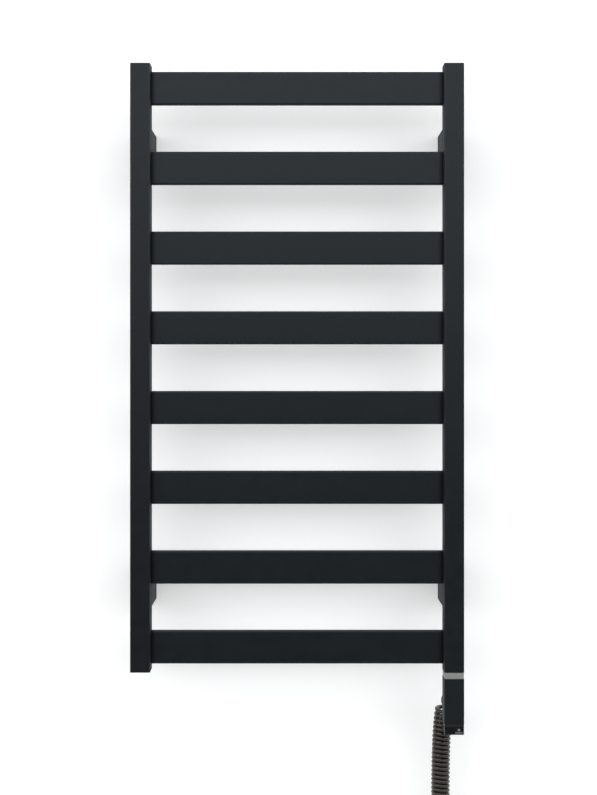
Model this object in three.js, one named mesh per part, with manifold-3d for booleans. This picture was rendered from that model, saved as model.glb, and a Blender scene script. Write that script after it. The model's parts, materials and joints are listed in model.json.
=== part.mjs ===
// Wall-hung electric towel warmer rack: two square-section posts, eight flat bars,
// four wall brackets, and a heating element under the right post with a curly mains lead.
//
// Frame: millimetres, +Z up, +X to the right and +Y towards the wall, as seen from the front.
// The origin lies on the wall plane, at mid-width and mid-height of the steel rack.

import * as THREE from 'three';
import { mergeVertices } from 'three/addons/utils/BufferGeometryUtils.js';
import Module from 'manifold-3d';

// ---------------------------------------------------------------- driving dimensions

const gap = 0.3; // clearance between neighbouring pieces
const past = 1; // how far a cutting tool runs beyond the face it opens
const facets = { hexagon: 6, tiny: 12, small: 16, round: 24, fine: 32 };

const rack = { width: 500, height: 912, standoff: 110 };
const post = { width: 30, depth: 35, corner: 2.5, wall: 1.5 };
const bar = { count: 8, pitch: 120, height: 50, thickness: 10, corner: 2.5, wall: 1.2 };
const barPort = { height: 42, depth: 5 }; // slot that joins a bar's inside to the post's
const endPlate = { thickness: 3, socketThickness: 6, corner: 1, socketRadius: 10.5 };

const bracket = {
  width: 30, height: 60, corner: 3, top: 363,
  plateDepth: 12, groove: 1.5, spigotDepth: 12, spigotWidth: 22, spigotHeight: 50,
  screwHoleRadius: 2.75, screwHoleOffset: 18,
};
const stud = { radius: 6, length: 45 };
const lockScrew = { radius: 3, length: 12, fromWall: 45, hexRadius: 1.7, hexDepth: 4 };

const ventPlug = {
  height: 430, shankRadius: 6, shankDepth: 3, headRadius: 9, headDepth: 3.4,
  slotWidth: 1.6, slotDepth: 1.4,
};
const ventSeal = { thickness: 1, radius: 8.6 };
const plugHex = { radius: 5.8, depth: 6 };
const blankingPlug = { radius: 10.2, length: 10 };

const ring = { height: 9.3, inset: 0.4, boreRadius: 12.8 };
const head = { height: 68.4, wall: 2, topWall: 2.5, innerCorner: 1 };
const controls = { height: 14.4, inset: 0.3, corner: 1.6, innerCorner: 1, wall: 2, floor: 1.3 };
const key = { width: 11.2, height: 11, thickness: 2.4, spacing: 14, stemRadius: 1.5, stemLength: 3.1 };
const keyLight = { radius: 2, thickness: 2, backing: 0.6 };
const keyStrip = { height: 3, depth: 1.2 };

const nipple = {
  threadRadius: 10.2, threadLength: 11.9, flangeRadius: 12.4, flangeHeight: 6.4,
  neckRadius: 8, neckLength: 14.7, boreRadius: 4.3,
};
const gasket = { thickness: 2.3, innerRadius: 10.5, outerRadius: 12.4 };
const rod = { radius: 4, top: -140 };

const rearCover = { width: 20.4, height: 59.4, thickness: 2.3, holeRadius: 8, screwInset: 4.2 };
const boss = { radius: 15.2, depth: 17.7, cavityRadius: 13, wall: 3, floor: 2, drop: 41.6 };
const coverScrew = { headRadius: 2.5, headDepth: 1.5, shankRadius: 1.25, length: 9 };

const board = { width: 22, height: 60, thickness: 1.6, fromFront: 11, floorGap: 0.5 };
const relay = { width: 18, height: 20, depth: 12, rise: 32 };
const terminalBlock = { width: 18, height: 12, depth: 9, rise: 17 };
const wireEntry = { count: 3, radius: 2, depth: 6, pitch: 5.5 };
const tactSwitch = { size: 6, depth: 3.2, plungerRadius: 1.6, plungerLength: 0.9 };

const relief = {
  tilt: 35, // degrees below the horizontal
  flangeRadius: 6.5, flangeLength: 2, neckRadius: 5, neckFrom: -8.6, neckTo: 4.6,
  noseRadius: 5.6, tipRadius: 4.3, noseTo: 14, sides: 20,
};

const cable = { radius: 3.15, sides: 10 };
// The straight lead's route, as steps in Y and Z from the strain relief's tip to the coil.
const leadRoute = { points: [[0, 0], [1.3, -0.9], [2.9, -2.6], [3.4, -4.2]], steps: 6 };
const coil = {
  radius: 14.45, sides: 20, steps: 26, crowding: 1.6, // steps crowd towards the bent top
  top: -523, bottom: -817, plumbX: 220.2, offset: 6.1, settle: 37, fromWall: 42.5,
};
const mainsPlug = {
  top: -842, neckRadius: 4.6, neckLength: 22, neckEndRadius: 6.4,
  shoulderRadius: 16, shoulderLength: 10, bodyRadius: 18.3, bodyLength: 22, edge: 1.6, sides: 28,
};
const plugPin = { radius: 2.4, length: 19, spacing: 19, tip: 1 };

// ---------------------------------------------------------------- derived places

const postX = (rack.width - post.width) / 2;
const frontY = -rack.standoff;
const postBackY = frontY + post.depth;
const postY = (frontY + postBackY) / 2;
const halfHeight = rack.height / 2;
const barZ = (index) => ((bar.count - 1) / 2 - index) * bar.pitch;
const bracketZ = bracket.top - bracket.height / 2;

const ringTop = -halfHeight - gap;
const headTop = ringTop - ring.height - gap;
const headBottom = headTop - head.height;
const controlsTop = headBottom - gap;
const controlsBottom = controlsTop - controls.height;
const keyZ = controlsBottom + controls.floor + gap + key.height / 2;
const bossZ = headTop - boss.drop;
const boardBottom = controlsBottom + controls.floor + board.floorGap;
const boardBack = frontY + board.fromFront + board.thickness;

// ---------------------------------------------------------------- finishes

const finish = (color, roughness, metalness) => ({ color, roughness, metalness });
const finishes = {
  paint: finish(0x2b2f32, 0.45, 0.2),
  steel: finish(0x9a9c9e, 0.35, 0.9),
  brass: finish(0xb59a5a, 0.35, 0.9),
  greyPlastic: finish(0x8a8a88, 0.6, 0),
  blackPlastic: finish(0x202325, 0.5, 0),
  glossPlastic: finish(0x121416, 0.15, 0),
  lens: finish(0xd8dcdc, 0.2, 0),
  strip: finish(0x77797a, 0.4, 0),
  rubber: finish(0x1c1a19, 0.8, 0),
  cable: finish(0x2a2421, 0.55, 0),
  board: finish(0x2f5d3a, 0.5, 0),
  relay: finish(0x2f4f8a, 0.4, 0),
  terminal: finish(0xd9d6c8, 0.5, 0),
};

// ---------------------------------------------------------------- shape helpers

const wasm = await Module();
wasm.setup();

const rack3d = new THREE.Group();

function addPart(name, geometry, surface, position = [0, 0, 0]) {
  const mesh = new THREE.Mesh(geometry, new THREE.MeshStandardMaterial(surface));
  mesh.name = name;
  mesh.position.set(...position);
  rack3d.add(mesh);
  return mesh;
}

function toSolid(geometry) {
  const bare = geometry.clone();
  bare.deleteAttribute('normal');
  bare.deleteAttribute('uv');
  const merged = mergeVertices(bare, 1e-4);
  return new wasm.Manifold(new wasm.Mesh({
    numProp: 3,
    vertProperties: new Float32Array(merged.attributes.position.array),
    triVerts: new Uint32Array(merged.index.array),
  }));
}

function toGeometry(solid) {
  const mesh = solid.getMesh();
  const geometry = new THREE.BufferGeometry();
  geometry.setAttribute('position', new THREE.BufferAttribute(mesh.vertProperties, mesh.numProp));
  geometry.setIndex(new THREE.BufferAttribute(mesh.triVerts, 1));
  return geometry;
}

// Cuts every tool out of a body.
function carve(body, tools) {
  return toGeometry(tools.reduce((solid, tool) => solid.subtract(toSolid(tool)), toSolid(body)));
}

// Joins every piece to a body.
function fuse(body, pieces) {
  return toGeometry(pieces.reduce((solid, piece) => solid.add(toSolid(piece)), toSolid(body)));
}

function roundedOutline(width, height, radius, Path = THREE.Shape) {
  const outline = new Path();
  const x = width / 2 - radius;
  const y = height / 2 - radius;
  outline.moveTo(x + radius, -y);
  outline.lineTo(x + radius, y);
  outline.absarc(x, y, radius, 0, Math.PI / 2);
  outline.absarc(-x, y, radius, Math.PI / 2, Math.PI);
  outline.absarc(-x, -y, radius, Math.PI, 1.5 * Math.PI);
  outline.absarc(x, -y, radius, 1.5 * Math.PI, 2 * Math.PI);
  return outline;
}

// A prism along Z from zero up to its height.
function prism(outline, height) {
  return new THREE.ExtrudeGeometry(outline, { depth: height, bevelEnabled: false, curveSegments: 2 });
}

// A prism with rounded corners along Z, centred in plan on (0, y), from one height to another.
function block(width, depth, radius, from, to, y = 0) {
  return prism(roundedOutline(width, depth, radius), to - from).translate(0, y, from);
}

// A plain box between two corners.
function box(low, high) {
  const size = high.map((value, axis) => value - low[axis]);
  const centre = high.map((value, axis) => (value + low[axis]) / 2);
  return new THREE.BoxGeometry(...size).translate(...centre);
}

// A solid of revolution about Z from a profile of [radius, height] points.
function turned(profile, segments = facets.round) {
  const points = profile.map(([radius, height]) => new THREE.Vector2(radius, height));
  return new THREE.LatheGeometry(points, segments).rotateX(Math.PI / 2);
}

// A profile that starts and ends on the axis needs its points in rising order.
function rodAlongZ(radius, from, to, segments = facets.round) {
  return turned([[0, from], [radius, from], [radius, to], [0, to]], segments);
}

// The same rod laid along Y, from one depth to another.
function rodAlongY(radius, from, to, segments = facets.round) {
  return rodAlongZ(radius, from, to, segments).rotateX(-Math.PI / 2);
}

// A washer or sleeve about Z.
function sleeve(inner, outer, from, to, segments = facets.round) {
  return turned([[inner, from], [outer, from], [outer, to], [inner, to], [inner, from]], segments);
}

// A round tube along a curve, with flat ends.
function cableAlong(curve, radius, sides, steps) {
  const section = new THREE.Shape();
  for (let side = 0; side < sides; side += 1) {
    const angle = (2 * Math.PI * side) / sides;
    const method = side === 0 ? 'moveTo' : 'lineTo';
    section[method](radius * Math.cos(angle), radius * Math.sin(angle));
  }
  return new THREE.ExtrudeGeometry(section, { extrudePath: curve, steps, bevelEnabled: false });
}

// ---------------------------------------------------------------- steel rack

// A hollow post, open at both ends, with one slot into each bar on its inner side.
function makePost(side) {
  const outline = roundedOutline(post.width, post.depth, post.corner);
  const inside = { width: post.width - 2 * post.wall, depth: post.depth - 2 * post.wall };
  outline.holes.push(roundedOutline(inside.width, inside.depth, post.corner - post.wall, THREE.Path));
  const tube = prism(outline, rack.height).translate(0, 0, -halfHeight);
  const innerFace = -side * (post.width / 2);
  const ports = Array.from({ length: bar.count }, (_, index) => box(
    [innerFace - 2 * post.wall, -barPort.depth / 2, barZ(index) - barPort.height / 2],
    [innerFace + 2 * post.wall, barPort.depth / 2, barZ(index) + barPort.height / 2],
  ));
  return carve(tube, ports);
}

function makeBar() {
  const outline = roundedOutline(bar.height, bar.thickness, bar.corner);
  const inside = { height: bar.height - 2 * bar.wall, thickness: bar.thickness - 2 * bar.wall };
  outline.holes.push(roundedOutline(inside.height, inside.thickness, bar.corner - bar.wall, THREE.Path));
  const length = rack.width - 2 * post.width - 2 * gap;
  return prism(outline, length).translate(0, 0, -length / 2).rotateY(Math.PI / 2);
}

function plugPlate(from, to) {
  const fit = 2 * (post.wall + gap);
  return block(post.width - fit, post.depth - fit, endPlate.corner, from, to);
}

function addRack() {
  for (const [name, side] of [['left', -1], ['right', 1]]) {
    const place = [side * postX, postY, 0];
    const back = postBackY - postY;
    let tube = makePost(side);
    if (side < 0) {
      const vent = rodAlongY(ventPlug.shankRadius + gap, back - 2 * post.wall, back + post.wall);
      tube = carve(tube, [vent.translate(0, 0, ventPlug.height)]);
    }
    addPart(`post_${name}`, tube, finishes.paint, place);
    addPart(`post_${name}_top_plate`, plugPlate(halfHeight - endPlate.thickness, halfHeight),
      finishes.paint, place);
    const socket = plugPlate(-halfHeight, -halfHeight + endPlate.socketThickness);
    const thread = rodAlongZ(endPlate.socketRadius, -halfHeight - past,
      -halfHeight + endPlate.socketThickness + past);
    addPart(`post_${name}_socket_plate`, carve(socket, [thread]), finishes.paint, place);
  }
  for (let index = 0; index < bar.count; index += 1) {
    addPart(`bar_${index + 1}`, makeBar(), finishes.paint, [0, postY, barZ(index)]);
  }
}

// The plugs that close the left post: one flush in its socket, one at the top of its back.
function addPlugs() {
  const body = rodAlongZ(blankingPlug.radius, 0, blankingPlug.length);
  const hex = rodAlongZ(plugHex.radius, -past, plugHex.depth, facets.hexagon);
  addPart('blanking_plug', carve(body, [hex]), finishes.steel, [-postX, postY, -halfHeight]);

  const seal = sleeve(ventPlug.shankRadius + gap, ventSeal.radius, gap, gap + ventSeal.thickness)
    .rotateX(-Math.PI / 2);
  const ventPlace = [-postX, postBackY, ventPlug.height];
  addPart('vent_plug_seal', seal, finishes.rubber, ventPlace);

  const headFrom = 2 * gap + ventSeal.thickness;
  const shank = rodAlongY(ventPlug.shankRadius, -ventPlug.shankDepth, headFrom + past);
  const headTo = headFrom + ventPlug.headDepth;
  const cap = rodAlongY(ventPlug.headRadius, headFrom, headTo);
  const slot = box([-ventPlug.headRadius - past, headTo - ventPlug.slotDepth, -ventPlug.slotWidth / 2],
    [ventPlug.headRadius + past, headTo + past, ventPlug.slotWidth / 2]);
  addPart('vent_plug', carve(fuse(shank, [cap]), [slot]), finishes.steel, ventPlace);
}

// ---------------------------------------------------------------- wall brackets

// Outlines drawn in X and Z, extruded along Y between two depths from the wall.
function wallBlock(width, height, radius, from, to) {
  return prism(roundedOutline(width, height, radius), to - from)
    .rotateX(-Math.PI / 2)
    .translate(0, from, 0);
}

function makeWallPlate() {
  const flange = wallBlock(bracket.width, bracket.height, bracket.corner, -bracket.plateDepth, 0);
  const spigotEnd = -bracket.plateDepth - bracket.spigotDepth;
  const spigot = wallBlock(bracket.spigotWidth, bracket.spigotHeight, bracket.corner, spigotEnd,
    -bracket.plateDepth / 2);
  const holes = [-1, 1].map((side) => (
    rodAlongY(bracket.screwHoleRadius, spigotEnd - past, past, facets.small)
      .translate(0, 0, side * bracket.screwHoleOffset)));
  return carve(fuse(flange, [spigot]), holes);
}

function makeBracketBody() {
  const from = postBackY + gap;
  const to = -bracket.plateDepth - bracket.groove;
  const pocketFrom = -bracket.plateDepth - bracket.spigotDepth - gap;
  const body = wallBlock(bracket.width, bracket.height, bracket.corner, from, to);
  const pocket = wallBlock(bracket.spigotWidth + 2 * gap, bracket.spigotHeight + 2 * gap,
    bracket.corner, pocketFrom, to + past);
  const bore = rodAlongY(stud.radius + gap, from - past, pocketFrom + past);
  const grub = rodAlongZ(lockScrew.radius + gap, -bracket.height / 2 - past, 0, facets.small)
    .translate(0, -lockScrew.fromWall, 0);
  return carve(body, [pocket, bore, grub]);
}

function addBrackets() {
  const corners = [['upper', 1], ['lower', -1]].flatMap(([row, vertical]) => (
    [['left', -1], ['right', 1]].map(([column, side]) => [`bracket_${row}_${column}`, vertical, side])));
  for (const [name, vertical, side] of corners) {
    const place = [side * postX, 0, vertical * bracketZ];
    addPart(`${name}_wall_plate`, makeWallPlate(), finishes.blackPlastic, place);
    addPart(`${name}_body`, makeBracketBody(), finishes.blackPlastic, place);
    addPart(`${name}_stud`, rodAlongY(stud.radius, postBackY + gap, postBackY + gap + stud.length),
      finishes.steel, place);
    const screwTop = -stud.radius - gap;
    const screwBottom = screwTop - lockScrew.length;
    const screw = rodAlongZ(lockScrew.radius, screwBottom, screwTop, facets.small);
    const hex = rodAlongZ(lockScrew.hexRadius, screwBottom - past, screwBottom + lockScrew.hexDepth,
      facets.hexagon);
    addPart(`${name}_lock_screw`, carve(screw, [hex]), finishes.steel,
      [place[0], -lockScrew.fromWall, place[2]]);
  }
}

// ---------------------------------------------------------------- heating element

function addHeater() {
  const place = [postX, postY, 0];
  const flangeTop = ringTop - gasket.thickness - gap;
  const flangeBottom = flangeTop - nipple.flangeHeight;
  const threadTop = flangeTop + nipple.threadLength;
  const neckBottom = flangeBottom - nipple.neckLength;
  addPart('heater_nipple', turned([
    [nipple.boreRadius, neckBottom],
    [nipple.neckRadius, neckBottom],
    [nipple.neckRadius, flangeBottom],
    [nipple.flangeRadius, flangeBottom],
    [nipple.flangeRadius, flangeTop],
    [nipple.threadRadius, flangeTop],
    [nipple.threadRadius, threadTop],
    [nipple.boreRadius, threadTop],
    [nipple.boreRadius, neckBottom],
  ]), finishes.brass, place);
  addPart('nipple_gasket',
    sleeve(gasket.innerRadius, gasket.outerRadius, ringTop - gasket.thickness, ringTop),
    finishes.rubber, place);
  const tip = [30, 60, 90].map((degrees) => {
    const angle = THREE.MathUtils.degToRad(degrees);
    return [rod.radius * Math.cos(angle), rod.top + rod.radius * Math.sin(angle)];
  });
  tip[tip.length - 1][0] = 0;
  addPart('heating_rod',
    turned([[0, neckBottom], [rod.radius, neckBottom], [rod.radius, rod.top], ...tip], facets.small),
    finishes.steel, place);
}

function addHead() {
  const place = [postX, postY, 0];
  const collar = block(post.width - 2 * ring.inset, post.depth - 2 * ring.inset, post.corner,
    ringTop - ring.height, ringTop);
  const collarBore = rodAlongZ(ring.boreRadius, ringTop - ring.height - past, ringTop + past);
  addPart('head_ring', carve(collar, [collarBore]), finishes.greyPlastic, place);

  const outer = block(post.width, post.depth, post.corner, headBottom, headTop);
  const inner = block(post.width - 2 * head.wall, post.depth - 2 * head.wall, head.innerCorner,
    headBottom - past, headTop - head.topWall);
  const neckHole = rodAlongZ(nipple.neckRadius + gap, headTop - head.topWall - past, headTop + past);
  const back = post.depth / 2;
  const windowMiddle = (headTop + headBottom) / 2;
  const halfWidth = rearCover.width / 2 + gap;
  const halfWindow = rearCover.height / 2 + gap;
  const window = box([-halfWidth, back - head.wall - past, windowMiddle - halfWindow],
    [halfWidth, back + past, windowMiddle + halfWindow]);
  addPart('head_shell', carve(outer, [inner, neckHole, window]), finishes.blackPlastic, place);
}

// The cover over the head's back, with the round cable outlet on it.
function addRearCover() {
  const middle = (headTop + headBottom) / 2;
  const outletZ = bossZ - middle;
  const plate = box([-rearCover.width / 2, -head.wall, -rearCover.height / 2],
    [rearCover.width / 2, 2 * gap, rearCover.height / 2]);
  const bossEnd = gap + boss.depth;
  const turret = rodAlongY(boss.radius, gap, bossEnd, facets.fine).translate(0, 0, outletZ);
  const cavity = rodAlongY(boss.cavityRadius, gap + boss.floor, bossEnd - boss.wall)
    .translate(0, 0, outletZ);
  const wireHole = rodAlongY(rearCover.holeRadius, -head.wall - past, gap + boss.floor + past)
    .translate(0, 0, outletZ);
  const outlet = rodAlongZ(relief.neckRadius + gap, relief.neckFrom - gap, relief.neckTo + gap)
    .rotateX(-Math.PI / 2 - THREE.MathUtils.degToRad(relief.tilt))
    .translate(0, bossEnd, outletZ);
  const screwZ = rearCover.height / 2 - rearCover.screwInset;
  const screwCuts = [-1, 1].flatMap((side) => [
    rodAlongY(coverScrew.shankRadius + gap, -head.wall - past, past, facets.small)
      .translate(0, 0, side * screwZ),
    rodAlongY(coverScrew.headRadius + gap, gap - coverScrew.headDepth, past, facets.small)
      .translate(0, 0, side * screwZ),
  ]);
  addPart('head_rear_cover', carve(fuse(plate, [turret]), [cavity, wireHole, outlet, ...screwCuts]),
    finishes.blackPlastic, [postX, postBackY, middle]);

  for (const [name, side] of [['upper', 1], ['lower', -1]]) {
    const shank = rodAlongY(coverScrew.shankRadius, -coverScrew.length, 0, facets.tiny);
    const cap = rodAlongY(coverScrew.headRadius, -coverScrew.headDepth, 0, facets.small);
    addPart(`cover_screw_${name}`, fuse(shank, [cap]), finishes.steel,
      [postX, postBackY + 2 * gap, middle + side * screwZ]);
  }
}

// A key's flat face, about the middle of its front, with its stem pointing inwards.
function keyFace(thickness) {
  const face = box([-key.width / 2, 0, -key.height / 2], [key.width / 2, thickness, key.height / 2]);
  const stem = rodAlongY(key.stemRadius, key.thickness / 2, key.thickness + key.stemLength, facets.tiny);
  return fuse(face, [stem]);
}

function addControls() {
  const width = post.width - 2 * controls.inset;
  const depth = post.depth - 2 * controls.inset;
  const outer = block(width, depth, controls.corner, controlsBottom, controlsTop);
  const inner = block(width - 2 * controls.wall, depth - 2 * controls.wall, controls.innerCorner,
    controlsBottom + controls.floor, controlsTop + past);
  const front = -depth / 2;
  const halfWidth = key.width / 2 + gap;
  const halfOpening = key.height / 2 + gap;
  const windows = [-1, 1].map((side) => box(
    [(side * key.spacing) / 2 - halfWidth, front - past, keyZ - halfOpening],
    [(side * key.spacing) / 2 + halfWidth, front + controls.wall + past, keyZ + halfOpening],
  ));
  addPart('control_housing', carve(outer, [inner, ...windows]), finishes.glossPlastic,
    [postX, postY, 0]);

  const keyFront = frontY + controls.inset;
  addPart('key_left', keyFace(key.thickness), finishes.glossPlastic,
    [postX - key.spacing / 2, keyFront, keyZ]);

  const lightPocket = rodAlongY(keyLight.radius + gap, -past, keyLight.thickness + gap, facets.small);
  const stripTop = -key.height / 2 + keyStrip.height;
  const stripPocket = box([-key.width / 2 - past, -past, -key.height / 2 - past],
    [key.width / 2 + past, keyStrip.depth + gap, stripTop]);
  const litKey = carve(keyFace(key.thickness + keyLight.backing), [lightPocket, stripPocket]);
  const litPlace = [postX + key.spacing / 2, keyFront, keyZ];
  addPart('key_right', litKey, finishes.glossPlastic, litPlace);
  addPart('key_right_light', rodAlongY(keyLight.radius, 0, keyLight.thickness, facets.small),
    finishes.lens, litPlace);
  addPart('key_right_strip', box([-key.width / 2, 0, -key.height / 2],
    [key.width / 2, keyStrip.depth, stripTop - gap]), finishes.strip, litPlace);
}

// The circuit board stands behind the keys and carries the relay, terminals and key switches.
function addElectronics() {
  addPart('circuit_board',
    box([-board.width / 2, -board.thickness, 0], [board.width / 2, 0, board.height]),
    finishes.board, [postX, boardBack, boardBottom]);
  addPart('relay', box([-relay.width / 2, 0, 0], [relay.width / 2, relay.depth, relay.height]),
    finishes.relay, [postX, boardBack + gap, boardBottom + relay.rise]);
  const terminals = box([-terminalBlock.width / 2, 0, 0],
    [terminalBlock.width / 2, terminalBlock.depth, terminalBlock.height]);
  const wireEntries = Array.from({ length: wireEntry.count }, (_, index) => rodAlongZ(wireEntry.radius,
    terminalBlock.height - wireEntry.depth, terminalBlock.height + past, facets.tiny)
    .translate((index - (wireEntry.count - 1) / 2) * wireEntry.pitch, terminalBlock.depth / 2, 0));
  addPart('terminal_block', carve(terminals, wireEntries), finishes.terminal,
    [postX, boardBack + gap, boardBottom + terminalBlock.rise]);
  for (const [name, side] of [['left', -1], ['right', 1]]) {
    const half = tactSwitch.size / 2;
    const body = box([-half, -tactSwitch.depth, -half], [half, 0, half]);
    const plunger = rodAlongY(tactSwitch.plungerRadius, -tactSwitch.depth - tactSwitch.plungerLength,
      -tactSwitch.depth + past, facets.tiny);
    addPart(`key_switch_${name}`, fuse(body, [plunger]), finishes.blackPlastic,
      [postX + (side * key.spacing) / 2, boardBack - board.thickness - gap, keyZ]);
  }
}

// ---------------------------------------------------------------- mains lead

const reliefTilt = THREE.MathUtils.degToRad(relief.tilt);
const reliefDirection = new THREE.Vector3(0, Math.cos(reliefTilt), -Math.sin(reliefTilt));
const outletPoint = new THREE.Vector3(postX, postBackY + gap + boss.depth, bossZ);
const coilY = -coil.fromWall;
const coilX = (z) => coil.plumbX + coil.offset * Math.exp((z - coil.top) / coil.settle);

function addStrainRelief() {
  const { flangeRadius, flangeLength, neckRadius, neckFrom, neckTo } = relief;
  const { noseRadius, tipRadius, noseTo } = relief;
  const body = turned([
    [0, neckFrom - flangeLength],
    [flangeRadius, neckFrom - flangeLength],
    [flangeRadius, neckFrom],
    [neckRadius, neckFrom],
    [neckRadius, neckTo],
    [noseRadius, neckTo],
    [tipRadius, noseTo],
    [0, noseTo],
  ], relief.sides).rotateX(-Math.PI / 2 - reliefTilt);
  addPart('strain_relief', body, finishes.rubber, outletPoint.toArray());
}

// The lead runs from the strain relief to the curly length, which hangs plumb behind the head
// and ends in a short straight tail above the plug.
function addLead() {
  const start = outletPoint.clone().addScaledVector(reliefDirection, relief.noseTo + gap);
  const lead = new THREE.CatmullRomCurve3(
    leadRoute.points.map(([y, z]) => start.clone().add(new THREE.Vector3(0, y, z))),
  );
  addPart('cord_lead', cableAlong(lead, cable.radius, cable.sides, leadRoute.steps), finishes.cable);

  const axis = Array.from({ length: coil.steps + 1 }, (_, step) => {
    const share = (step / coil.steps) ** coil.crowding;
    const z = coil.top + (coil.bottom - coil.top) * share;
    return new THREE.Vector3(coilX(z), coilY, z);
  });
  addPart('cord_coil', cableAlong(new THREE.CatmullRomCurve3(axis), coil.radius, coil.sides, coil.steps),
    finishes.cable);

  const tail = new THREE.LineCurve3(
    new THREE.Vector3(coilX(coil.bottom), coilY, coil.bottom - gap),
    new THREE.Vector3(coilX(coil.bottom), coilY, mainsPlug.top + gap),
  );
  addPart('cord_tail', cableAlong(tail, cable.radius, cable.sides, 2), finishes.cable);
}

function addMainsPlug() {
  const place = [coilX(coil.bottom), coilY, mainsPlug.top];
  const neckEnd = -mainsPlug.neckLength;
  const shoulderEnd = neckEnd - mainsPlug.shoulderLength;
  const bodyEnd = shoulderEnd - mainsPlug.bodyLength;
  addPart('plug_body', turned([
    [0, bodyEnd],
    [mainsPlug.bodyRadius - mainsPlug.edge, bodyEnd],
    [mainsPlug.bodyRadius, bodyEnd + mainsPlug.edge],
    [mainsPlug.bodyRadius, shoulderEnd],
    [mainsPlug.shoulderRadius, shoulderEnd + mainsPlug.shoulderLength / 2],
    [mainsPlug.neckEndRadius, neckEnd],
    [mainsPlug.neckRadius, 0],
    [0, 0],
  ], mainsPlug.sides), finishes.rubber, place);
  const pinTop = bodyEnd - gap;
  for (const [name, side] of [['left', -1], ['right', 1]]) {
    addPart(`plug_pin_${name}`, turned([
      [0, pinTop - plugPin.length],
      [plugPin.radius - plugPin.tip, pinTop - plugPin.length],
      [plugPin.radius, pinTop - plugPin.length + plugPin.tip],
      [plugPin.radius, pinTop],
      [0, pinTop],
    ], facets.tiny), finishes.steel, [place[0] + (side * plugPin.spacing) / 2, place[1], place[2]]);
  }
}

addRack();
addPlugs();
addBrackets();
addHeater();
addHead();
addRearCover();
addControls();
addElectronics();
addStrainRelief();
addLead();
addMainsPlug();

export default rack3d;
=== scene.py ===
"""Looks of a wall-hung electric towel warmer rack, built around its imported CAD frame.

Metres, +Z up, +X to the right and +Y towards the wall, with the origin on the wall plane.
"""
import json
import math

import bmesh
import bpy
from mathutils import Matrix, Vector


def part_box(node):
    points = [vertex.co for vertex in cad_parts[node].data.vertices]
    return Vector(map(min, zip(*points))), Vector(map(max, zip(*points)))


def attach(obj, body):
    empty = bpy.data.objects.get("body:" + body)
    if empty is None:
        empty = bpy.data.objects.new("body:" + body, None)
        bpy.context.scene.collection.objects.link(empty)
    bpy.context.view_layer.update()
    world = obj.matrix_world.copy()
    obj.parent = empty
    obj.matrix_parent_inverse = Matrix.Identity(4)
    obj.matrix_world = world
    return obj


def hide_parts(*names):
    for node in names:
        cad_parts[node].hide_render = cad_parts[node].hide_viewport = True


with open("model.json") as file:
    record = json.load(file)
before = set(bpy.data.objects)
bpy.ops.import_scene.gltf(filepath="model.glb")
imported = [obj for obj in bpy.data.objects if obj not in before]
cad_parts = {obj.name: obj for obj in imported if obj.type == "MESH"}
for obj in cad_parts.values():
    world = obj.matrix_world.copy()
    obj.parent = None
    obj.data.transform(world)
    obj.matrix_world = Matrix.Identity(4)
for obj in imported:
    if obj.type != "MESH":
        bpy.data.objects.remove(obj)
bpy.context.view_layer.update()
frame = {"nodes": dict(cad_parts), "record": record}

# ------------------------------------------------------------------ places taken from the frame

POST_LOW, POST_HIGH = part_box("post_right")
FRONT_Y, POST_BACK_Y = POST_LOW.y, POST_HIGH.y
POST_X = (POST_LOW.x + POST_HIGH.x) / 2
POST_WIDTH = POST_HIGH.x - POST_LOW.x
POST_DEPTH = POST_BACK_Y - FRONT_Y
POST_INNER_X = POST_LOW.x
BAR_COUNT = 8
CORNERS = [f"{row}_{column}" for row in ("upper", "lower") for column in ("left", "right")]

# ------------------------------------------------------------------ camera

EYE_HEIGHT = 0.0041
EYE_DISTANCE = 2.33
LENS = 70.59
SHIFT = (0.00174, -0.0409)


def make_camera():
    data = bpy.data.cameras.new("camera")
    data.sensor_width = 36
    data.lens = LENS
    data.shift_x, data.shift_y = SHIFT
    camera = bpy.data.objects.new("camera", data)
    camera.location = (0, FRONT_Y - EYE_DISTANCE, EYE_HEIGHT)
    camera.rotation_euler = (math.radians(90), 0, 0)
    bpy.context.scene.collection.objects.link(camera)
    bpy.context.scene.camera = camera


# ------------------------------------------------------------------ materials


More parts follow.
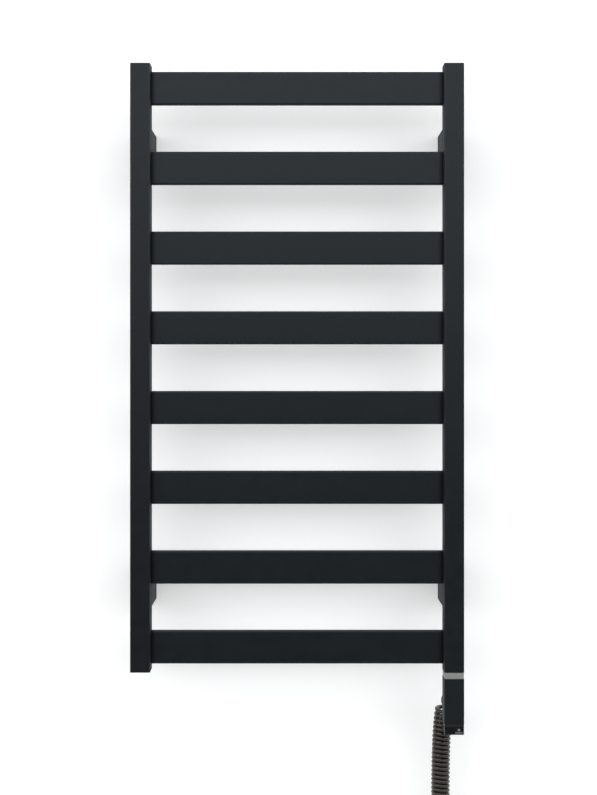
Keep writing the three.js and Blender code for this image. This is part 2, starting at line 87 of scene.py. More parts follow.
class Surface:
    """A Principled material whose colour, roughness and relief come from procedural textures."""

    def __init__(self, name):
        self.material = bpy.data.materials.new(name)
        self.material.use_nodes = True
        self.tree = self.material.node_tree
        self.shader = self.tree.nodes["Principled BSDF"]
        self.where = self.add("ShaderNodeTexCoord").outputs["Object"]

    def add(self, kind, **settings):
        node = self.tree.nodes.new(kind)
        for name, value in settings.items():
            setattr(node, name, value)
        return node

    def link(self, out, into):
        self.tree.links.new(out, into)

    def constant(self, values):
        for socket, value in values.items():
            self.shader.inputs[socket].default_value = value

    def noise(self, scale, detail=3.0, roughness=0.5, stretch=None):
        node = self.add("ShaderNodeTexNoise")
        node.inputs["Scale"].default_value = scale
        node.inputs["Detail"].default_value = detail
        node.inputs["Roughness"].default_value = roughness
        where = self.where
        if stretch:
            mapping = self.add("ShaderNodeMapping")
            mapping.inputs["Scale"].default_value = stretch
            self.link(where, mapping.inputs["Vector"])
            where = mapping.outputs["Vector"]
        self.link(where, node.inputs["Vector"])
        return node.outputs["Fac"]

    def between(self, factor, low, high, start=0.3, end=0.7):
        """Maps a factor between start and end onto values from low to high."""
        node = self.add("ShaderNodeMapRange")
        for name, value in (("From Min", start), ("From Max", end), ("To Min", low), ("To Max", high)):
            node.inputs[name].default_value = value
        self.link(factor, node.inputs["Value"])
        return node.outputs["Result"]

    def colours(self, factor, first, second, start=0.3, end=0.7):
        ramp = self.add("ShaderNodeValToRGB")
        for element, place, colour in zip(ramp.color_ramp.elements, (start, end), (first, second)):
            element.position = place
            element.color = (*colour, 1)
        self.link(factor, ramp.inputs["Fac"])
        return ramp.outputs["Color"]

    def mix(self, factor, first, second):
        node = self.add("ShaderNodeMixRGB")
        self.link(factor, node.inputs["Fac"])
        self.link(first, node.inputs["Color1"])
        self.link(second, node.inputs["Color2"])
        return node.outputs["Color"]

    def relief(self, *layers):
        """Stacks bump layers of (height, depth in metres, strength)."""
        normal = None
        for height, depth, strength in layers:
            node = self.add("ShaderNodeBump")
            node.inputs["Strength"].default_value = strength
            node.inputs["Distance"].default_value = depth
            self.link(height, node.inputs["Height"])
            if normal:
                self.link(normal, node.inputs["Normal"])
            normal = node.outputs["Normal"]
        self.link(normal, self.shader.inputs["Normal"])

    def painted_edge_highlight(self, start=0.53, end=0.6):
        """A mask that is one along convex edges, where a lighter colour paints a highlight."""
        return self.between(self.add("ShaderNodeNewGeometry").outputs["Pointiness"], 0, 1, start, end)

    def duller_at_a_glance(self, roughness, added):
        """A roughness that grows where a face is seen along its surface, as a fine texture does."""
        weight = self.add("ShaderNodeLayerWeight")
        weight.inputs["Blend"].default_value = 0.5
        total = self.add("ShaderNodeMath", operation="ADD")
        self.link(roughness, total.inputs[0])
        self.link(self.between(weight.outputs["Facing"], 0, added, 0.3, 0.9), total.inputs[1])
        return total.outputs["Value"]

    def painted_crevice_shade(self, open_tint, reach=0.009, start=0.52, end=0.97):
        """Paints shade into the crevices beside another piece: an ambient occlusion mask dims the gloss
        there, where little light gets in.
        """
        openness = self.add("ShaderNodeAmbientOcclusion", samples=8)
        openness.inputs["Distance"].default_value = reach
        tint = self.colours(openness.outputs["AO"], (0.02, 0.02, 0.02), open_tint, start, end)
        self.link(tint, self.shader.inputs["Specular Tint"])

    def paint(self, colour, roughness):
        self.link(colour, self.shader.inputs["Base Color"])
        self.link(roughness, self.shader.inputs["Roughness"])
        return self.material


def powder_coat():
    """Satin slate-black powder coat: fine orange peel, a faint fleck, a painted highlight along its convex
    edges and painted shade in the gloss of its crevices.
    """
    surface = Surface("powder_coat")
    cloud = surface.noise(9, 2)
    speck = surface.noise(1500, 1)
    peel = surface.noise(520, 2, 0.45)
    base = surface.colours(cloud, (0.0032, 0.0042, 0.0047), (0.0043, 0.0056, 0.0061))
    flecks = surface.colours(speck, (0.0026, 0.0034, 0.0040), (0.0070, 0.0087, 0.0098), 0.35, 0.75)
    mottled = surface.mix(surface.between(speck, 0.25, 0.6), base, flecks)
    # Painted highlight: the convex edges take a lighter colour.
    edge_highlight_colour = surface.colours(cloud, (0.010, 0.0118, 0.0128), (0.0125, 0.0142, 0.0152))
    colour = surface.mix(surface.painted_edge_highlight(), mottled, edge_highlight_colour)
    surface.relief((peel, 0.00012, 0.18), (speck, 0.00002, 0.2))
    surface.constant({"Specular IOR Level": 0.38})
    # Painted shade: the gloss is dimmed in the crevices where the bars meet the posts.
    surface.painted_crevice_shade((0.84, 0.907, 1.0))
    satin = surface.between(surface.noise(70, 3), 0.31, 0.37)
    return surface.paint(colour, surface.duller_at_a_glance(satin, 0.4))


def moulded(name, dark, light, roughness, grain=1400, depth=0.00003, strength=0.35, level=0.5, dulling=0.0,
            tint=(1, 1, 1)):
    """Moulded plastic with a spark-eroded grain and faint flow clouds."""
    surface = Surface(name)
    surface.constant({"Specular IOR Level": level, "Specular Tint": (*tint, 1)})
    colour = surface.colours(surface.noise(45, 3), dark, light)
    surface.relief((surface.noise(grain, 2, 0.6), depth, strength))
    satin = surface.between(surface.noise(160, 3), *roughness)
    if dulling:
        satin = surface.duller_at_a_glance(satin, dulling)
    return surface.paint(colour, satin)


def gloss_plastic():
    surface = Surface("gloss_plastic")
    smears = surface.noise(260, 4, 0.6, (1, 1, 0.35))
    colour = surface.colours(surface.noise(60, 2), (0.0045, 0.005, 0.006), (0.007, 0.0075, 0.0085))
    surface.relief((surface.noise(600, 2), 0.00001, 0.12))
    surface.constant({"Coat Weight": 0.35, "Coat Roughness": 0.06})
    return surface.paint(colour, surface.between(smears, 0.12, 0.24))


def metal(name, dark, light, roughness, stretch):
    """Plated or drawn metal with fine lines along one direction."""
    surface = Surface(name)
    lines = surface.noise(900, 3, 0.6, stretch)
    colour = surface.mix(surface.noise(120, 4), surface.colours(lines, dark, light),
                         surface.colours(lines, light, dark))
    surface.relief((lines, 0.00001, 0.3))
    surface.constant({"Metallic": 1.0})
    return surface.paint(colour, surface.between(surface.noise(300, 3), *roughness))


def cable_jacket():
    surface = Surface("cable_jacket")
    lengthwise = surface.noise(700, 3, 0.6)
    dust = surface.noise(240, 4, 0.65)
    base = surface.colours(lengthwise, (0.0050, 0.0041, 0.0036), (0.0090, 0.0073, 0.0062))
    bloom = surface.colours(dust, (0.014, 0.0113, 0.0095), (0.021, 0.017, 0.0143))
    colour = surface.mix(surface.between(dust, 0.0, 0.45, 0.45, 0.75), base, bloom)
    surface.relief((lengthwise, 0.00003, 0.3), (surface.noise(2600, 2), 0.00001, 0.3))
    surface.constant({"Specular IOR Level": 0.75, "Specular Tint": (1.0, 0.9, 0.8, 1)})
    return surface.paint(colour, surface.between(dust, 0.20, 0.29))


def light_window():
    surface = Surface("light_window")
    haze = surface.noise(900, 3)
    colour = surface.colours(haze, (0.175, 0.187, 0.19), (0.225, 0.24, 0.245))
    surface.relief((haze, 0.00001, 0.2))
    surface.constant({"Coat Weight": 0.15, "Coat Roughness": 0.08})
    return surface.paint(colour, surface.between(haze, 0.18, 0.3))


def circuit_green():
    surface = Surface("circuit_green")
    tracks = surface.add("ShaderNodeTexBrick")
    tracks.inputs["Scale"].default_value = 300
    surface.link(surface.where, tracks.inputs["Vector"])
    colour = surface.mix(tracks.outputs["Fac"],
                         surface.colours(surface.noise(80), (0.02, 0.11, 0.045), (0.03, 0.15, 0.06)),
                         surface.colours(surface.noise(500), (0.05, 0.24, 0.10), (0.07, 0.3, 0.13)))
    surface.relief((tracks.outputs["Fac"], 0.00004, 0.4))
    return surface.paint(colour, surface.between(surface.noise(200), 0.3, 0.42))


MATERIALS = {
    "powder_coat": powder_coat(),
    "matte_black_plastic": moulded("matte_black_plastic", (0.0040, 0.0046, 0.0049),
                                   (0.0056, 0.0063, 0.0066), (0.40, 0.48), level=0.29, dulling=0.2,
                                   tint=(0.82, 0.95, 1.0)),
    "gloss_black_plastic": gloss_plastic(),
    "grey_plastic": moulded("grey_plastic", (0.218, 0.218, 0.212), (0.256, 0.255, 0.248), (0.5, 0.62)),
    "light_window": light_window(),
    "light_strip": moulded("light_strip", (0.104, 0.108, 0.108), (0.13, 0.134, 0.134), (0.25, 0.35), 900),
    "plated_steel": metal("plated_steel", (0.42, 0.42, 0.41), (0.6, 0.6, 0.58), (0.26, 0.4), (1, 0.12, 1)),
    "element_steel": metal("element_steel", (0.38, 0.37, 0.35), (0.56, 0.55, 0.53), (0.24, 0.36),
                           (1, 1, 0.05)),
    "nipple_brass": metal("nipple_brass", (0.52, 0.38, 0.16), (0.72, 0.55, 0.27), (0.25, 0.38),
                          (1, 1, 0.1)),
    "seal_rubber": moulded("seal_rubber", (0.012, 0.0115, 0.011), (0.02, 0.019, 0.018), (0.55, 0.7), 1800),
    "cable_jacket": cable_jacket(),
    "plug_rubber": moulded("plug_rubber", (0.014, 0.0125, 0.0115), (0.021, 0.019, 0.0175), (0.45, 0.6),
                           1600),
    "board_green": circuit_green(),
    "relay_plastic": moulded("relay_plastic", (0.02, 0.07, 0.28), (0.03, 0.09, 0.34), (0.25, 0.35)),
    "terminal_plastic": moulded("terminal_plastic", (0.56, 0.54, 0.47), (0.66, 0.64, 0.56), (0.4, 0.5)),
}


def finish_cad_nodes():
    """Every CAD node that stays in view takes its record slot's material in place of its flat one."""
    for part in frame["record"]["subparts"]:
        data = frame["nodes"][part["node"]].data
        data.materials.clear()
        data.materials.append(MATERIALS[part["material_slot"]])


# ------------------------------------------------------------------ mesh helpers


def rounded(width, height, radius, steps=7):
    """A rounded rectangle about (0, 0) as points, anticlockwise, with a support point beside each arc."""
    support = min(0.0015, 0.2 * (min(width, height) - 2 * radius))
    points = []
    for corner in range(4):
        across = (width / 2 - radius) * (1 if corner in (0, 3) else -1)
        up = (height / 2 - radius) * (1 if corner in (0, 1) else -1)
        for step in range(-1, steps + 2):
            angle = math.pi / 2 * (corner + min(max(step, 0), steps) / steps)
            beyond = support * (min(step, 0) + max(step - steps, 0))
            points.append((across + radius * math.cos(angle) - beyond * math.sin(angle),
                           up + radius * math.sin(angle) + beyond * math.cos(angle)))
    return points


def circle(radius, count=48):
    angles = [2 * math.pi * index / count for index in range(count)]
    return [(radius * math.cos(angle), radius * math.sin(angle)) for angle in angles]


def stand(points, along, axis, centre):
    """Places plan points at a distance along an axis through a centre."""
    x, y, z = centre
    if axis == "x":
        return [Vector((along, y + u, z + v)) for u, v in points]
    if axis == "y":
        return [Vector((x + v, along, z + u)) for u, v in points]
    return [Vector((x + u, y + v, along)) for u, v in points]


def loft(rings):
    """Vertices and faces of a skin over rings of equal length, closed at both ends."""
    count = len(rings[0])
    vertices = [point for ring in rings for point in ring]
    faces = [
        (row * count + index, row * count + (index + 1) % count,
         (row + 1) * count + (index + 1) % count, (row + 1) * count + index)
        for row in range(len(rings) - 1) for index in range(count)
    ]
    faces.append(tuple(range(count - 1, -1, -1)))
    faces.append(tuple(range((len(rings) - 1) * count, len(rings) * count)))
    return vertices, faces


def edge_rounding(start, end, edge, steps=4):
    """Pairs of (distance along, inset) that round both rims of a prism."""
    turns = [math.pi / 2 * step / steps for step in range(steps + 1)]
    first = [(start + edge * (1 - math.cos(turn)), edge * (1 - math.sin(turn))) for turn in turns]
    last = [(end - edge * (1 - math.cos(turn)), edge * (1 - math.sin(turn))) for turn in reversed(turns)]
    return first + last


def prism_rings(width, height, radius, sections, axis, centre):
    return [
        stand(rounded(width - 2 * inset, height - 2 * inset, max(radius - inset, radius * 0.1)),
              along, axis, centre)
        for along, inset in sections
    ]


def make_object(name, vertices, faces, slot):
    mesh = bpy.data.meshes.new(name)
    mesh.from_pydata([tuple(point) for point in vertices], [], faces)
    mesh.validate()
    mesh.materials.append(MATERIALS[slot])
    piece = bpy.data.objects.new(name, mesh)
    bpy.context.scene.collection.objects.link(piece)
    return piece


def face_outwards(piece):
    """Turns every face out, whichever way its rings ran."""
    work = bmesh.new()
    work.from_mesh(piece.data)
    bmesh.ops.recalc_face_normals(work, faces=work.faces)
    work.to_mesh(piece.data)
    work.free()


def smooth(piece, angle=32):
    piece.data.shade_smooth()
    piece.data.set_sharp_from_angle(angle=math.radians(angle))
    weighted = piece.modifiers.new("even_normals", "WEIGHTED_NORMAL")
    weighted.keep_sharp = True


def cut(piece, cutters):
    """Takes cutters out of a piece and removes them."""
    for cutter in cutters:
        face_outwards(cutter)
        step = piece.modifiers.new("cut", "BOOLEAN")
        step.operation = "DIFFERENCE"
        step.solver = "EXACT"
        step.object = cutter
    graph = bpy.context.evaluated_depsgraph_get()
    made = bpy.data.meshes.new_from_object(piece.evaluated_get(graph))
    piece.modifiers.clear()
    piece.data = made
    for cutter in cutters:
        bpy.data.objects.remove(cutter)


def settle(piece, slot, body, *nodes, angle=32):
    """Finishes a piece: normals, shading, its body and the CAD nodes it stands for; its slot argument is not
    used.
    """
    smooth(piece, angle)
    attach(piece, body)
    if nodes:
        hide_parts(*nodes)
    return piece


def prism(name, size, radius, sections, axis, centre, slot):
    piece = make_object(name, *loft(prism_rings(*size, radius, sections, axis, centre)), slot)
    face_outwards(piece)
    return piece


def turned_rings(profile, axis, centre, count=48):
    return [stand(circle(radius, count), along, axis, centre) for along, radius in profile]


# ------------------------------------------------------------------ mains lead

CABLE = 0.0063
COIL_RADIUS = 0.0113  # from the helix's axis to the middle of the cable
COIL_PITCH = 0.0066
COIL_LOW, COIL_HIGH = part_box("cord_coil")
COIL_TOP, COIL_BOTTOM = -0.523, -0.817
COIL_Y = (COIL_LOW.y + COIL_HIGH.y) / 2
PLUMB_X, TOP_OFFSET, SETTLE = 0.2202, 0.0061, 0.037
RELIEF_TILT = math.radians(35)
RELIEF_DIRECTION = Vector((0, math.cos(RELIEF_TILT), -math.sin(RELIEF_TILT)))
RELIEF_LENGTH = 0.014  # outside the cable outlet
SEATED = 0.001  # how far the cable runs into the sleeve's tip and into the plug
OUTLET = Vector((POST_X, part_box("head_rear_cover")[1].y, -0.5075))
PLUG_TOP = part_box("plug_body")[1].z


def coil_axis(z):
    """The point on the coil's axis at a height, and its slope there."""
    highest = 0.004  # above the curl's top; the axis leans no further from here up
    offset = TOP_OFFSET * math.exp(min(z - COIL_TOP, highest) / SETTLE)
    return Vector((PLUMB_X + offset, COIL_Y, z)), offset / SETTLE


def helix_point(angle):
    """The cable's middle after turning by an angle from the right-hand side, seen from above.

    The first two turns are drawn out a little, and the first quarter drops in from the strain relief.
    """
    first_left, stretch, stretch_turns = -0.526, 0.0008, 0.8
    drop_in, settle_in = 0.0010, 0.83
    turned = (angle - math.pi) / (2 * math.pi)
    height = first_left - COIL_PITCH * turned - stretch * (1 - math.exp(-turned / stretch_turns))
    height += drop_in * math.exp(-angle / settle_in)
    centre, slope = coil_axis(height)
    across = Vector((1, 0, -slope)).normalized()
    away = Vector((0, 1, 0))
    return centre + COIL_RADIUS * (math.cos(angle) * across + math.sin(angle) * away)


def bezier(start, start_hand, end_hand, end, steps):
    for step in range(1, steps + 1):
        t = step / steps
        yield ((1 - t) ** 3 * start + 3 * t * (1 - t) ** 2 * start_hand
               + 3 * t * t * (1 - t) * end_hand + t ** 3 * end)


def lead_route():
    """From inside the strain relief, round the curly length and straight down into the plug."""
    per_turn = 28
    ends_height = 0.0075  # of the curl's height, beyond its whole turns
    leaving_hand, mouth_hand = 0.011, 0.014
    turns = (COIL_TOP - COIL_BOTTOM - ends_height) / COIL_PITCH
    tip = OUTLET + RELIEF_DIRECTION * RELIEF_LENGTH
    start = tip - RELIEF_DIRECTION * SEATED
    helix = [helix_point(2 * math.pi * step / per_turn) for step in range(round(turns * per_turn) + 1)]
    entry = (helix[1] - helix[0]).normalized()
    span = (helix[0] - start).length / 3
    points = [start]
    points += bezier(start, start + RELIEF_DIRECTION * span, helix[0] - entry * span, helix[0], 5)
    points += helix[1:]
    leaving = (helix[-1] - helix[-2]).normalized()
    plug_mouth = Vector((PLUMB_X, COIL_Y, PLUG_TOP - SEATED))
    points += bezier(helix[-1], helix[-1] + leaving * leaving_hand,
                     plug_mouth + Vector((0, 0, mouth_hand)), plug_mouth, 16)
    return points


def make_lead():
    points = lead_route()
    data = bpy.data.curves.new("mains_lead", "CURVE")
    data.dimensions = "3D"
    data.bevel_depth = CABLE / 2
    data.bevel_resolution = 4
    data.use_fill_caps = True
    spline = data.splines.new("POLY")
    spline.points.add(len(points) - 1)
    for slot, point in zip(spline.points, points):
        slot.co = (*point, 1)
    spline.use_smooth = True
    data.materials.append(MATERIALS["cable_jacket"])
    lead = bpy.data.objects.new("mains_lead", data)
    bpy.context.scene.collection.objects.link(lead)
    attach(lead, "rack")
    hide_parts("cord_lead", "cord_coil", "cord_tail")
    return lead, points[0]


def make_strain_relief():
    """A tapered rubber sleeve with ribs, leaving the outlet down at a slant."""
    ribs, neck_radius, widest, taper = 5, 0.0048, 0.0056, 0.0013
    ribs_start, plain_tip = 0.0050, 0.0006
    crest_at, crest_rise = 0.000616, 0.0002
    groove_from, groove_to, groove_end, groove_depth = 0.0009, 0.0012, 0.0016, 0.0006
    profile = [(-0.0035, neck_radius), (0.0044, neck_radius), (0.0046, 0.0054), (ribs_start, widest)]
    for rib in range(ribs):
        radius = widest - taper * (rib + 1) / ribs
        base = ribs_start + rib * (RELIEF_LENGTH - ribs_start - plain_tip) / ribs
        profile += [(base + crest_at, radius + crest_rise), (base + groove_from, radius - groove_depth),
                    (base + groove_to, radius - groove_depth), (base + groove_end, radius)]
    profile += [(RELIEF_LENGTH - 0.0003, 0.0041), (RELIEF_LENGTH, 0.0038)]
    rings = turned_rings(profile, "z", (0, 0, 0), 36)
    turn = Vector((0, 0, 1)).rotation_difference(RELIEF_DIRECTION).to_matrix()
    rings = [[OUTLET + turn @ point for point in ring] for ring in rings]
    piece = make_object("strain_relief_sleeve", *loft(rings), "seal_rubber")
    face_outwards(piece)
    return settle(piece, "seal_rubber", "rack", "strain_relief", angle=50)


def fluted(radius, depth, flutes=9, count=108):
    """A circle with shallow hollows round it."""
    points = []
    for u, v in circle(radius, count):
        hollow = max(0.0, math.cos(flutes * math.atan2(v, u))) ** 2
        shrink = 1 - depth / radius * hollow
        points.append((u * shrink, v * shrink))
    return points


def make_plug():
    """A moulded plug: tapered neck with bend grooves, fluted grip and a flat pin face."""
    low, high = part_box("plug_body")
    centre = ((low.x + high.x) / 2, (low.y + high.y) / 2, 0)
    full = (high.x - low.x) / 2
    top, bottom = high.z, low.z
    grooves, groove_pitch, groove_depth, flute_depth = 5, 0.0036, 0.0008, 0.0011
    neck_radius, neck_growth = 0.0046, 0.0018
    profile = [(top, 0.0040), (top - 0.0004, 0.0045)]
    for groove in range(grooves):
        base = top - 0.0025 - groove * groove_pitch
        radius = neck_radius + neck_growth * (groove / grooves)
        profile += [(base, radius), (base - 0.0005, radius - groove_depth),
                    (base - 0.0013, radius - groove_depth), (base - 0.0018, radius + 0.0001)]
    profile += [(top - 0.022, 0.0066), (top - 0.0245, 0.0090), (top - 0.0265, 0.0130),
                (top - 0.0285, 0.0158), (top - 0.0315, 0.0175)]
    grip = [(top - 0.034, 0.0181), (top - 0.038, full), (top - 0.042, full), (top - 0.046, full)]
    foot = [(bottom + 0.004, full), (bottom + 0.0016, full), (bottom + 0.0006, full - 0.0004),
            (bottom, full - 0.0016), (bottom, full - 0.0022)]
    rings = []
    for along, radius in profile + grip + foot:
        depth = flute_depth if (along, radius) in grip else 0
        rings.append(stand(fluted(radius, depth), along, "z", centre))
    piece = make_object("plug_moulding", *loft(rings), "plug_rubber")
    face_outwards(piece)
    return settle(piece, "plug_rubber", "rack", "plug_body", angle=50)


# ------------------------------------------------------------------ steel rack

POST_CORNER = 0.0025
BAR_CORNER = 0.0025
POST_EDGE = 0.0006
SOCKET_RADIUS, SOCKET_DEPTH = 0.0105, 0.006
PAST = 0.001  # how far a cutter runs beyond the face it opens


def make_post(side):
    """A post closed by its plates, with the socket's mouth cut in its foot."""
    name = f"post_{side}"
    low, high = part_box(name)
    centre = ((low.x + high.x) / 2, (low.y + high.y) / 2, 0)
    piece = prism(f"{name}_steel", (POST_WIDTH, POST_DEPTH), POST_CORNER,
                  edge_rounding(low.z, high.z, POST_EDGE), "z", centre, "powder_coat")
    mouth = make_object("mouth", *loft(turned_rings(
        [(low.z - PAST, SOCKET_RADIUS), (low.z + SOCKET_DEPTH, SOCKET_RADIUS)], "z", centre)), "powder_coat")
    cut(piece, [mouth])
    return settle(piece, "powder_coat", "rack", name, f"{name}_top_plate", f"{name}_socket_plate")


def make_bar(number):
    """A flat bar whose ends flare into the weld fillets on the posts."""
    node = f"bar_{number}"
    low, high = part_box(node)
    centre = (0, (low.y + high.y) / 2, (low.z + high.z) / 2)
    size = (high.y - low.y, high.z - low.z)
    fillet, steps, reach = 0.0006, 5, 0.0004
    flare = []
    for step in range(steps + 1):
        turn = math.pi / 2 * step / steps
        flare.append((fillet * (1 - math.sin(turn)), -fillet * (1 - math.cos(turn))))
    start = -POST_INNER_X
    first = [(start - reach, -fillet)] + [(start + along, inset) for along, inset in reversed(flare)]
    last = [(POST_INNER_X - along, inset) for along, inset in flare] + [(POST_INNER_X + reach, -fillet)]
    rings = [
        stand(rounded(size[0] - 2 * inset, size[1] - 2 * inset, BAR_CORNER - inset), along, "x", centre)
        for along, inset in first + last
    ]
    piece = make_object(f"{node}_tube", *loft(rings), "powder_coat")
    face_outwards(piece)
    return settle(piece, "powder_coat", "rack", node)


# ------------------------------------------------------------------ brackets

BRACKET_CORNER, WALL_PLATE_DEPTH = 0.003, 0.012
BODY_EDGE, WALL_PLATE_EDGE = 0.0008, 0.0006
SCREW_HOLE_RADIUS, SCREW_HOLE_OFFSET, SCREW_HOLE_DEPTH = 0.00275, 0.018, 0.009


def make_bracket(corner):
    """The moulded body and wall plate of one bracket, with the shadow groove between them."""
    for part, edge in (("body", BODY_EDGE), ("wall_plate", WALL_PLATE_EDGE)):
        node = f"bracket_{corner}_{part}"
        low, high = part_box(node)
        centre = ((low.x + high.x) / 2, 0, (low.z + high.z) / 2)
        size = (high.z - low.z, high.x - low.x)
        start = low.y if part == "body" else high.y - WALL_PLATE_DEPTH
        piece = prism(f"{node}_moulding", size, BRACKET_CORNER, edge_rounding(start, high.y, edge), "y",
                      centre, "matte_black_plastic")
        if part == "wall_plate":
            cut(piece, [wall_screw_hole(centre, high.y, side * SCREW_HOLE_OFFSET) for side in (-1, 1)])
        settle(piece, "matte_black_plastic", "rack", node)


def wall_screw_hole(centre, wall_y, offset):
    place = (centre[0], 0, centre[2] + offset)
    profile = [(wall_y + PAST, SCREW_HOLE_RADIUS), (wall_y - SCREW_HOLE_DEPTH, SCREW_HOLE_RADIUS)]
    return make_object("hole", *loft(turned_rings(profile, "y", place, 32)), "matte_black_plastic")


# ------------------------------------------------------------------ heater head

SEAM = 0.0003  # clearance round a cover or a key
COVER_HALF_WIDTH, COVER_RECESS, COVER_PROUD = 0.0102, 0.002, 0.0006
RECESS_RADIUS = 0.0028


def head_prism(node, name, radius, edge, slot):
    low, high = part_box(node)
    centre = ((low.x + high.x) / 2, (low.y + high.y) / 2, 0)
    size = (high.x - low.x, high.y - low.y)
    return prism(name, size, radius, edge_rounding(low.z, high.z, edge), "z", centre, slot)


def window_cutter(low, high, radius, y_from, y_to, slot):
    """A rounded opening through Y around a node's outline in X and Z."""
    centre = ((low.x + high.x) / 2, 0, (low.z + high.z) / 2)
    outline = rounded(high.z - low.z, high.x - low.x, radius, 4)
    rings = [stand(outline, y_from, "y", centre), stand(outline, y_to, "y", centre)]
    return make_object("window", *loft(rings), slot)


def grown(low, high, margin):
    step = Vector((margin, 0, margin))
    return low - step, high + step


def make_head():
    settle(head_prism("head_ring", "head_collar", POST_CORNER, 0.0005, "grey_plastic"),
           "grey_plastic", "rack", "head_ring")

    shell = head_prism("head_shell", "head_casing", POST_CORNER, 0.0005, "matte_black_plastic")
    cover_low, cover_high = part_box("head_rear_cover")
    plate_low = Vector((POST_X - COVER_HALF_WIDTH, 0, cover_low.z))
    plate_high = Vector((POST_X + COVER_HALF_WIDTH, 0, cover_high.z))
    cut(shell, [window_cutter(*grown(plate_low, plate_high, SEAM), 0.001, POST_BACK_Y - COVER_RECESS,
                              POST_BACK_Y + COVER_RECESS, "matte_black_plastic")])
    settle(shell, "matte_black_plastic", "rack", "head_shell")

    make_rear_cover(plate_low, plate_high, cover_high.y)
    make_controls()


def make_rear_cover(low, high, outlet_y):
    """The cover plate with its screw recesses, and the round cable outlet standing on it."""
    centre = ((low.x + high.x) / 2, 0, (low.z + high.z) / 2)
    plate = prism("rear_cover_plate", (high.z - low.z, high.x - low.x), 0.0009,
                  edge_rounding(POST_BACK_Y - COVER_RECESS, POST_BACK_Y + COVER_PROUD, 0.0003), "y", centre,
                  "matte_black_plastic")
    recesses = []
    for name in ("upper", "lower"):
        screw_low, screw_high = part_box(f"cover_screw_{name}")
        place = ((screw_low.x + screw_high.x) / 2, 0, (screw_low.z + screw_high.z) / 2)
        recesses.append(make_object("recess", *loft(turned_rings(
            [(POST_BACK_Y - PAST, RECESS_RADIUS), (POST_BACK_Y + 0.002, RECESS_RADIUS)], "y", place, 32)),
            "matte_black_plastic"))
    cut(plate, recesses)
    settle(plate, "matte_black_plastic", "rack", "head_rear_cover")

    radius = (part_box("head_rear_cover")[1].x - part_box("head_rear_cover")[0].x) / 2
    start = POST_BACK_Y + 0.0003
    profile = [
        (start, radius - 0.0006), (start, radius - 0.0002), (start + 0.0004, radius),
        (start + 0.011, radius), (start + 0.0114, radius - 0.0005), (start + 0.0120, radius - 0.0005),
        (start + 0.0124, radius), (outlet_y - 0.0022, radius), (outlet_y - 0.0012, radius - 0.0003),
        (outlet_y - 0.0004, radius - 0.0011), (outlet_y, radius - 0.0023), (outlet_y, radius - 0.0032),
        (outlet_y - 0.0005, radius - 0.0037), (outlet_y - 0.0005, radius - 0.0050),
    ]
    turret = make_object("cable_outlet", *loft(turned_rings(
        profile, "y", (POST_X, 0, OUTLET.z), 72)), "matte_black_plastic")
    face_outwards(turret)
    settle(turret, "matte_black_plastic", "rack")


def make_controls():
    """The glossy band with its two push keys, the right one with a light window and a grey strip."""
    housing = head_prism("control_housing", "control_band", 0.0016, 0.0006, "gloss_black_plastic")
    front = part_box("control_housing")[0].y
    cutters = []
    for side in ("left", "right"):
        low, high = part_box(f"key_{side}")
        cutters.append(window_cutter(*grown(low, high, SEAM), 0.0009, front - PAST, front + 0.006,
                                     "gloss_black_plastic"))
    cut(housing, cutters)
    settle(housing, "gloss_black_plastic", "rack", "control_housing")

    for side in ("left", "right"):
        make_key(side)


def make_key(side):
    node = f"key_{side}"
    low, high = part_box(node)
    centre = ((low.x + high.x) / 2, 0, (low.z + high.z) / 2)
    size = (high.z - low.z, high.x - low.x)
    cap = prism(f"{node}_cap", size, 0.0008, edge_rounding(low.y, low.y + 0.0026, 0.00035), "y", centre,
                "gloss_black_plastic")
    if side == "right":
        strip_low, strip_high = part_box("key_right_strip")
        light = turned_rings([(low.y - 0.001, 0.0022), (low.y + 0.0021, 0.0022)], "y", centre, 36)
        cut(cap, [
            make_object("pocket", *loft(light), "gloss_black_plastic"),
            window_cutter(strip_low - Vector((0.001, 0, 0.001)), strip_high + Vector((0.001, 0, 0.0003)),
                          0.0002, low.y - 0.001, low.y + 0.0013, "gloss_black_plastic"),
        ])
        make_key_trim(low.y, centre, strip_low, strip_high)
    settle(cap, "gloss_black_plastic", node, node)


def make_key_trim(front, centre, low, high):
    """The domed light window and the strip along the key's lower edge."""
    profile = [(front + 0.002, 0.0020), (front + 0.0003, 0.0020), (front + 0.00012, 0.0019),
               (front + 0.00004, 0.0016), (front, 0.0010), (front - 0.00002, 0.0003)]
    window = make_object("light_window", *loft(turned_rings(profile, "y", centre, 40)), "light_window")
    face_outwards(window)
    settle(window, "light_window", "key_right", "key_right_light")
    middle = ((low.x + high.x) / 2, 0, (low.z + high.z) / 2)
    strip = prism("light_strip", (high.z - low.z, high.x - low.x), 0.0005,
                  edge_rounding(front, front + 0.0012, 0.0003), "y", middle, "light_strip")
    settle(strip, "light_strip", "key_right", "key_right_strip")


# ------------------------------------------------------------------ stage


def stage_material(name, colour, glow=0.0, one_sided=False):
    surface = Surface(name)
    surface.constant({"Base Color": (*colour, 1), "Roughness": 0.9, "Specular IOR Level": 0.1,
                      "Emission Color": (1, 1, 1, 1), "Emission Strength": glow})
    if one_sided:
        back = surface.add("ShaderNodeNewGeometry").outputs["Backfacing"]
        clear = surface.add("ShaderNodeBsdfTransparent").outputs["BSDF"]
        chosen = surface.add("ShaderNodeMixShader")
        surface.link(back, chosen.inputs["Fac"])
        surface.link(surface.shader.outputs["BSDF"], chosen.inputs[1])
        surface.link(clear, chosen.inputs[2])
        surface.link(chosen.outputs["Shader"], surface.tree.nodes["Material Output"].inputs["Surface"])
    return surface.material


def stage_plane(name, corners, material):
    mesh = bpy.data.meshes.new(name)
    mesh.from_pydata(corners, [], [(0, 1, 2, 3)])
    mesh.materials.append(material)
    plane = bpy.data.objects.new(name, mesh)
    bpy.context.scene.collection.objects.link(plane)


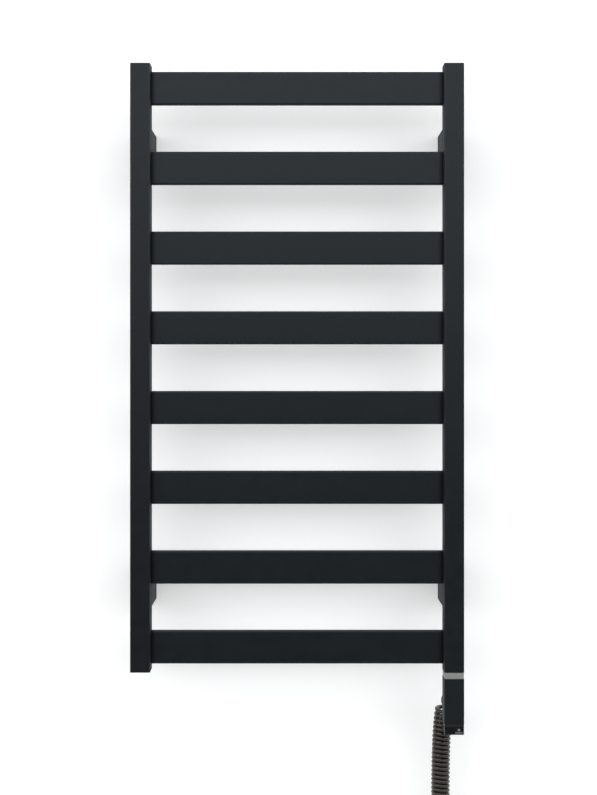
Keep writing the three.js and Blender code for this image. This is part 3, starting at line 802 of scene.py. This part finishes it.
def make_stage():
    """A pale wall that only shows from the front, and a pale floor well below the plug."""
    reach, ceiling, floor = 3.0, 2.4, -1.45
    wall = stage_material("wall_paint", (0.87, 0.867, 0.865), 0.34, one_sided=True)
    stage_plane("wall", [(-reach, 0.0002, floor), (reach, 0.0002, floor), (reach, 0.0002, ceiling),
                         (-reach, 0.0002, ceiling)], wall)
    ground = stage_material("floor_paint", (0.58, 0.58, 0.57))
    stage_plane("floor", [(-reach, -reach, floor), (reach, -reach, floor), (reach, reach, floor),
                          (-reach, reach, floor)], ground)


def soft_box(name, place, size, power):
    """An area light that the camera doesn't see, aimed at the origin."""
    data = bpy.data.lights.new(name, "AREA")
    data.shape = "RECTANGLE"
    data.size, data.size_y = size
    data.energy = power
    light = bpy.data.objects.new(name, data)
    light.location = place
    light.visible_camera = False
    light.rotation_euler = (-Vector(place)).to_track_quat("-Z", "Y").to_euler()
    bpy.context.scene.collection.objects.link(light)


SIDE_POWER, TOP_POWER = 15, 26
LEFT_EXTRA = 0.08  # share by which the left box is stronger and the right one weaker
SIDE_PLACE, SIDE_SIZE = (2.8, -2.6, 0.75), (1.8, 2.2)
TOP_PLACE, TOP_SIZE = (0, -1.9, 2.5), (3.4, 1.6)
SKY_TINT = (0.95, 0.98, 1.0)
BACKDROP = (0.88, 0.88, 0.88, 1)
# Brightness of the sky at heights from straight down (0) to straight up (1).
SKY = ((0.0, 0.04), (0.46, 0.05), (0.53, 0.5), (0.59, 2.4), (0.66, 1.35), (0.82, 0.7), (1.0, 0.6))


def make_sky():
    """A soft sky, brightest a little above eye level; the camera itself sees an even pale backdrop."""
    world = bpy.data.worlds.new("studio")
    bpy.context.scene.world = world
    world.use_nodes = True
    tree = world.node_tree
    direction = tree.nodes.new("ShaderNodeTexCoord").outputs["Generated"]
    parts = tree.nodes.new("ShaderNodeSeparateXYZ")
    tree.links.new(direction, parts.inputs["Vector"])
    height = tree.nodes.new("ShaderNodeMapRange")
    height.inputs["From Min"].default_value = -1
    tree.links.new(parts.outputs["Z"], height.inputs["Value"])
    ramp = tree.nodes.new("ShaderNodeValToRGB")
    stops = ramp.color_ramp.elements
    while len(stops) < len(SKY):
        stops.new(0.5)
    for stop, (place, glow) in zip(stops, SKY):
        stop.position = place
        stop.color = (*(glow * part for part in SKY_TINT), 1)
    tree.links.new(height.outputs["Result"], ramp.inputs["Fac"])
    sky = tree.nodes["Background"]
    tree.links.new(ramp.outputs["Color"], sky.inputs["Color"])
    seen = tree.nodes.new("ShaderNodeBackground")
    seen.inputs["Color"].default_value = BACKDROP
    path = tree.nodes.new("ShaderNodeLightPath")
    chosen = tree.nodes.new("ShaderNodeMixShader")
    tree.links.new(path.outputs["Is Camera Ray"], chosen.inputs["Fac"])
    tree.links.new(sky.outputs["Background"], chosen.inputs[1])
    tree.links.new(seen.outputs["Background"], chosen.inputs[2])
    tree.links.new(chosen.outputs["Shader"], tree.nodes["World Output"].inputs["Surface"])


def make_lights():
    across, forward, up = SIDE_PLACE
    for side in (-1, 1):
        power = SIDE_POWER * (1 - LEFT_EXTRA * side)
        soft_box(f"side_{side}", (side * across, forward, up), SIDE_SIZE, power)
    soft_box("overhead", TOP_PLACE, TOP_SIZE, TOP_POWER)
    make_sky()


# ------------------------------------------------------------------ assembly

bpy.context.scene.view_settings.view_transform = "Standard"
make_camera()
finish_cad_nodes()
lead, lead_start = make_lead()
sleeve = make_strain_relief()
plug = make_plug()
for side in ("left", "right"):
    make_post(side)
for number in range(1, BAR_COUNT + 1):
    make_bar(number)
for corner in CORNERS:
    make_bracket(corner)
make_head()
make_stage()
make_lights()
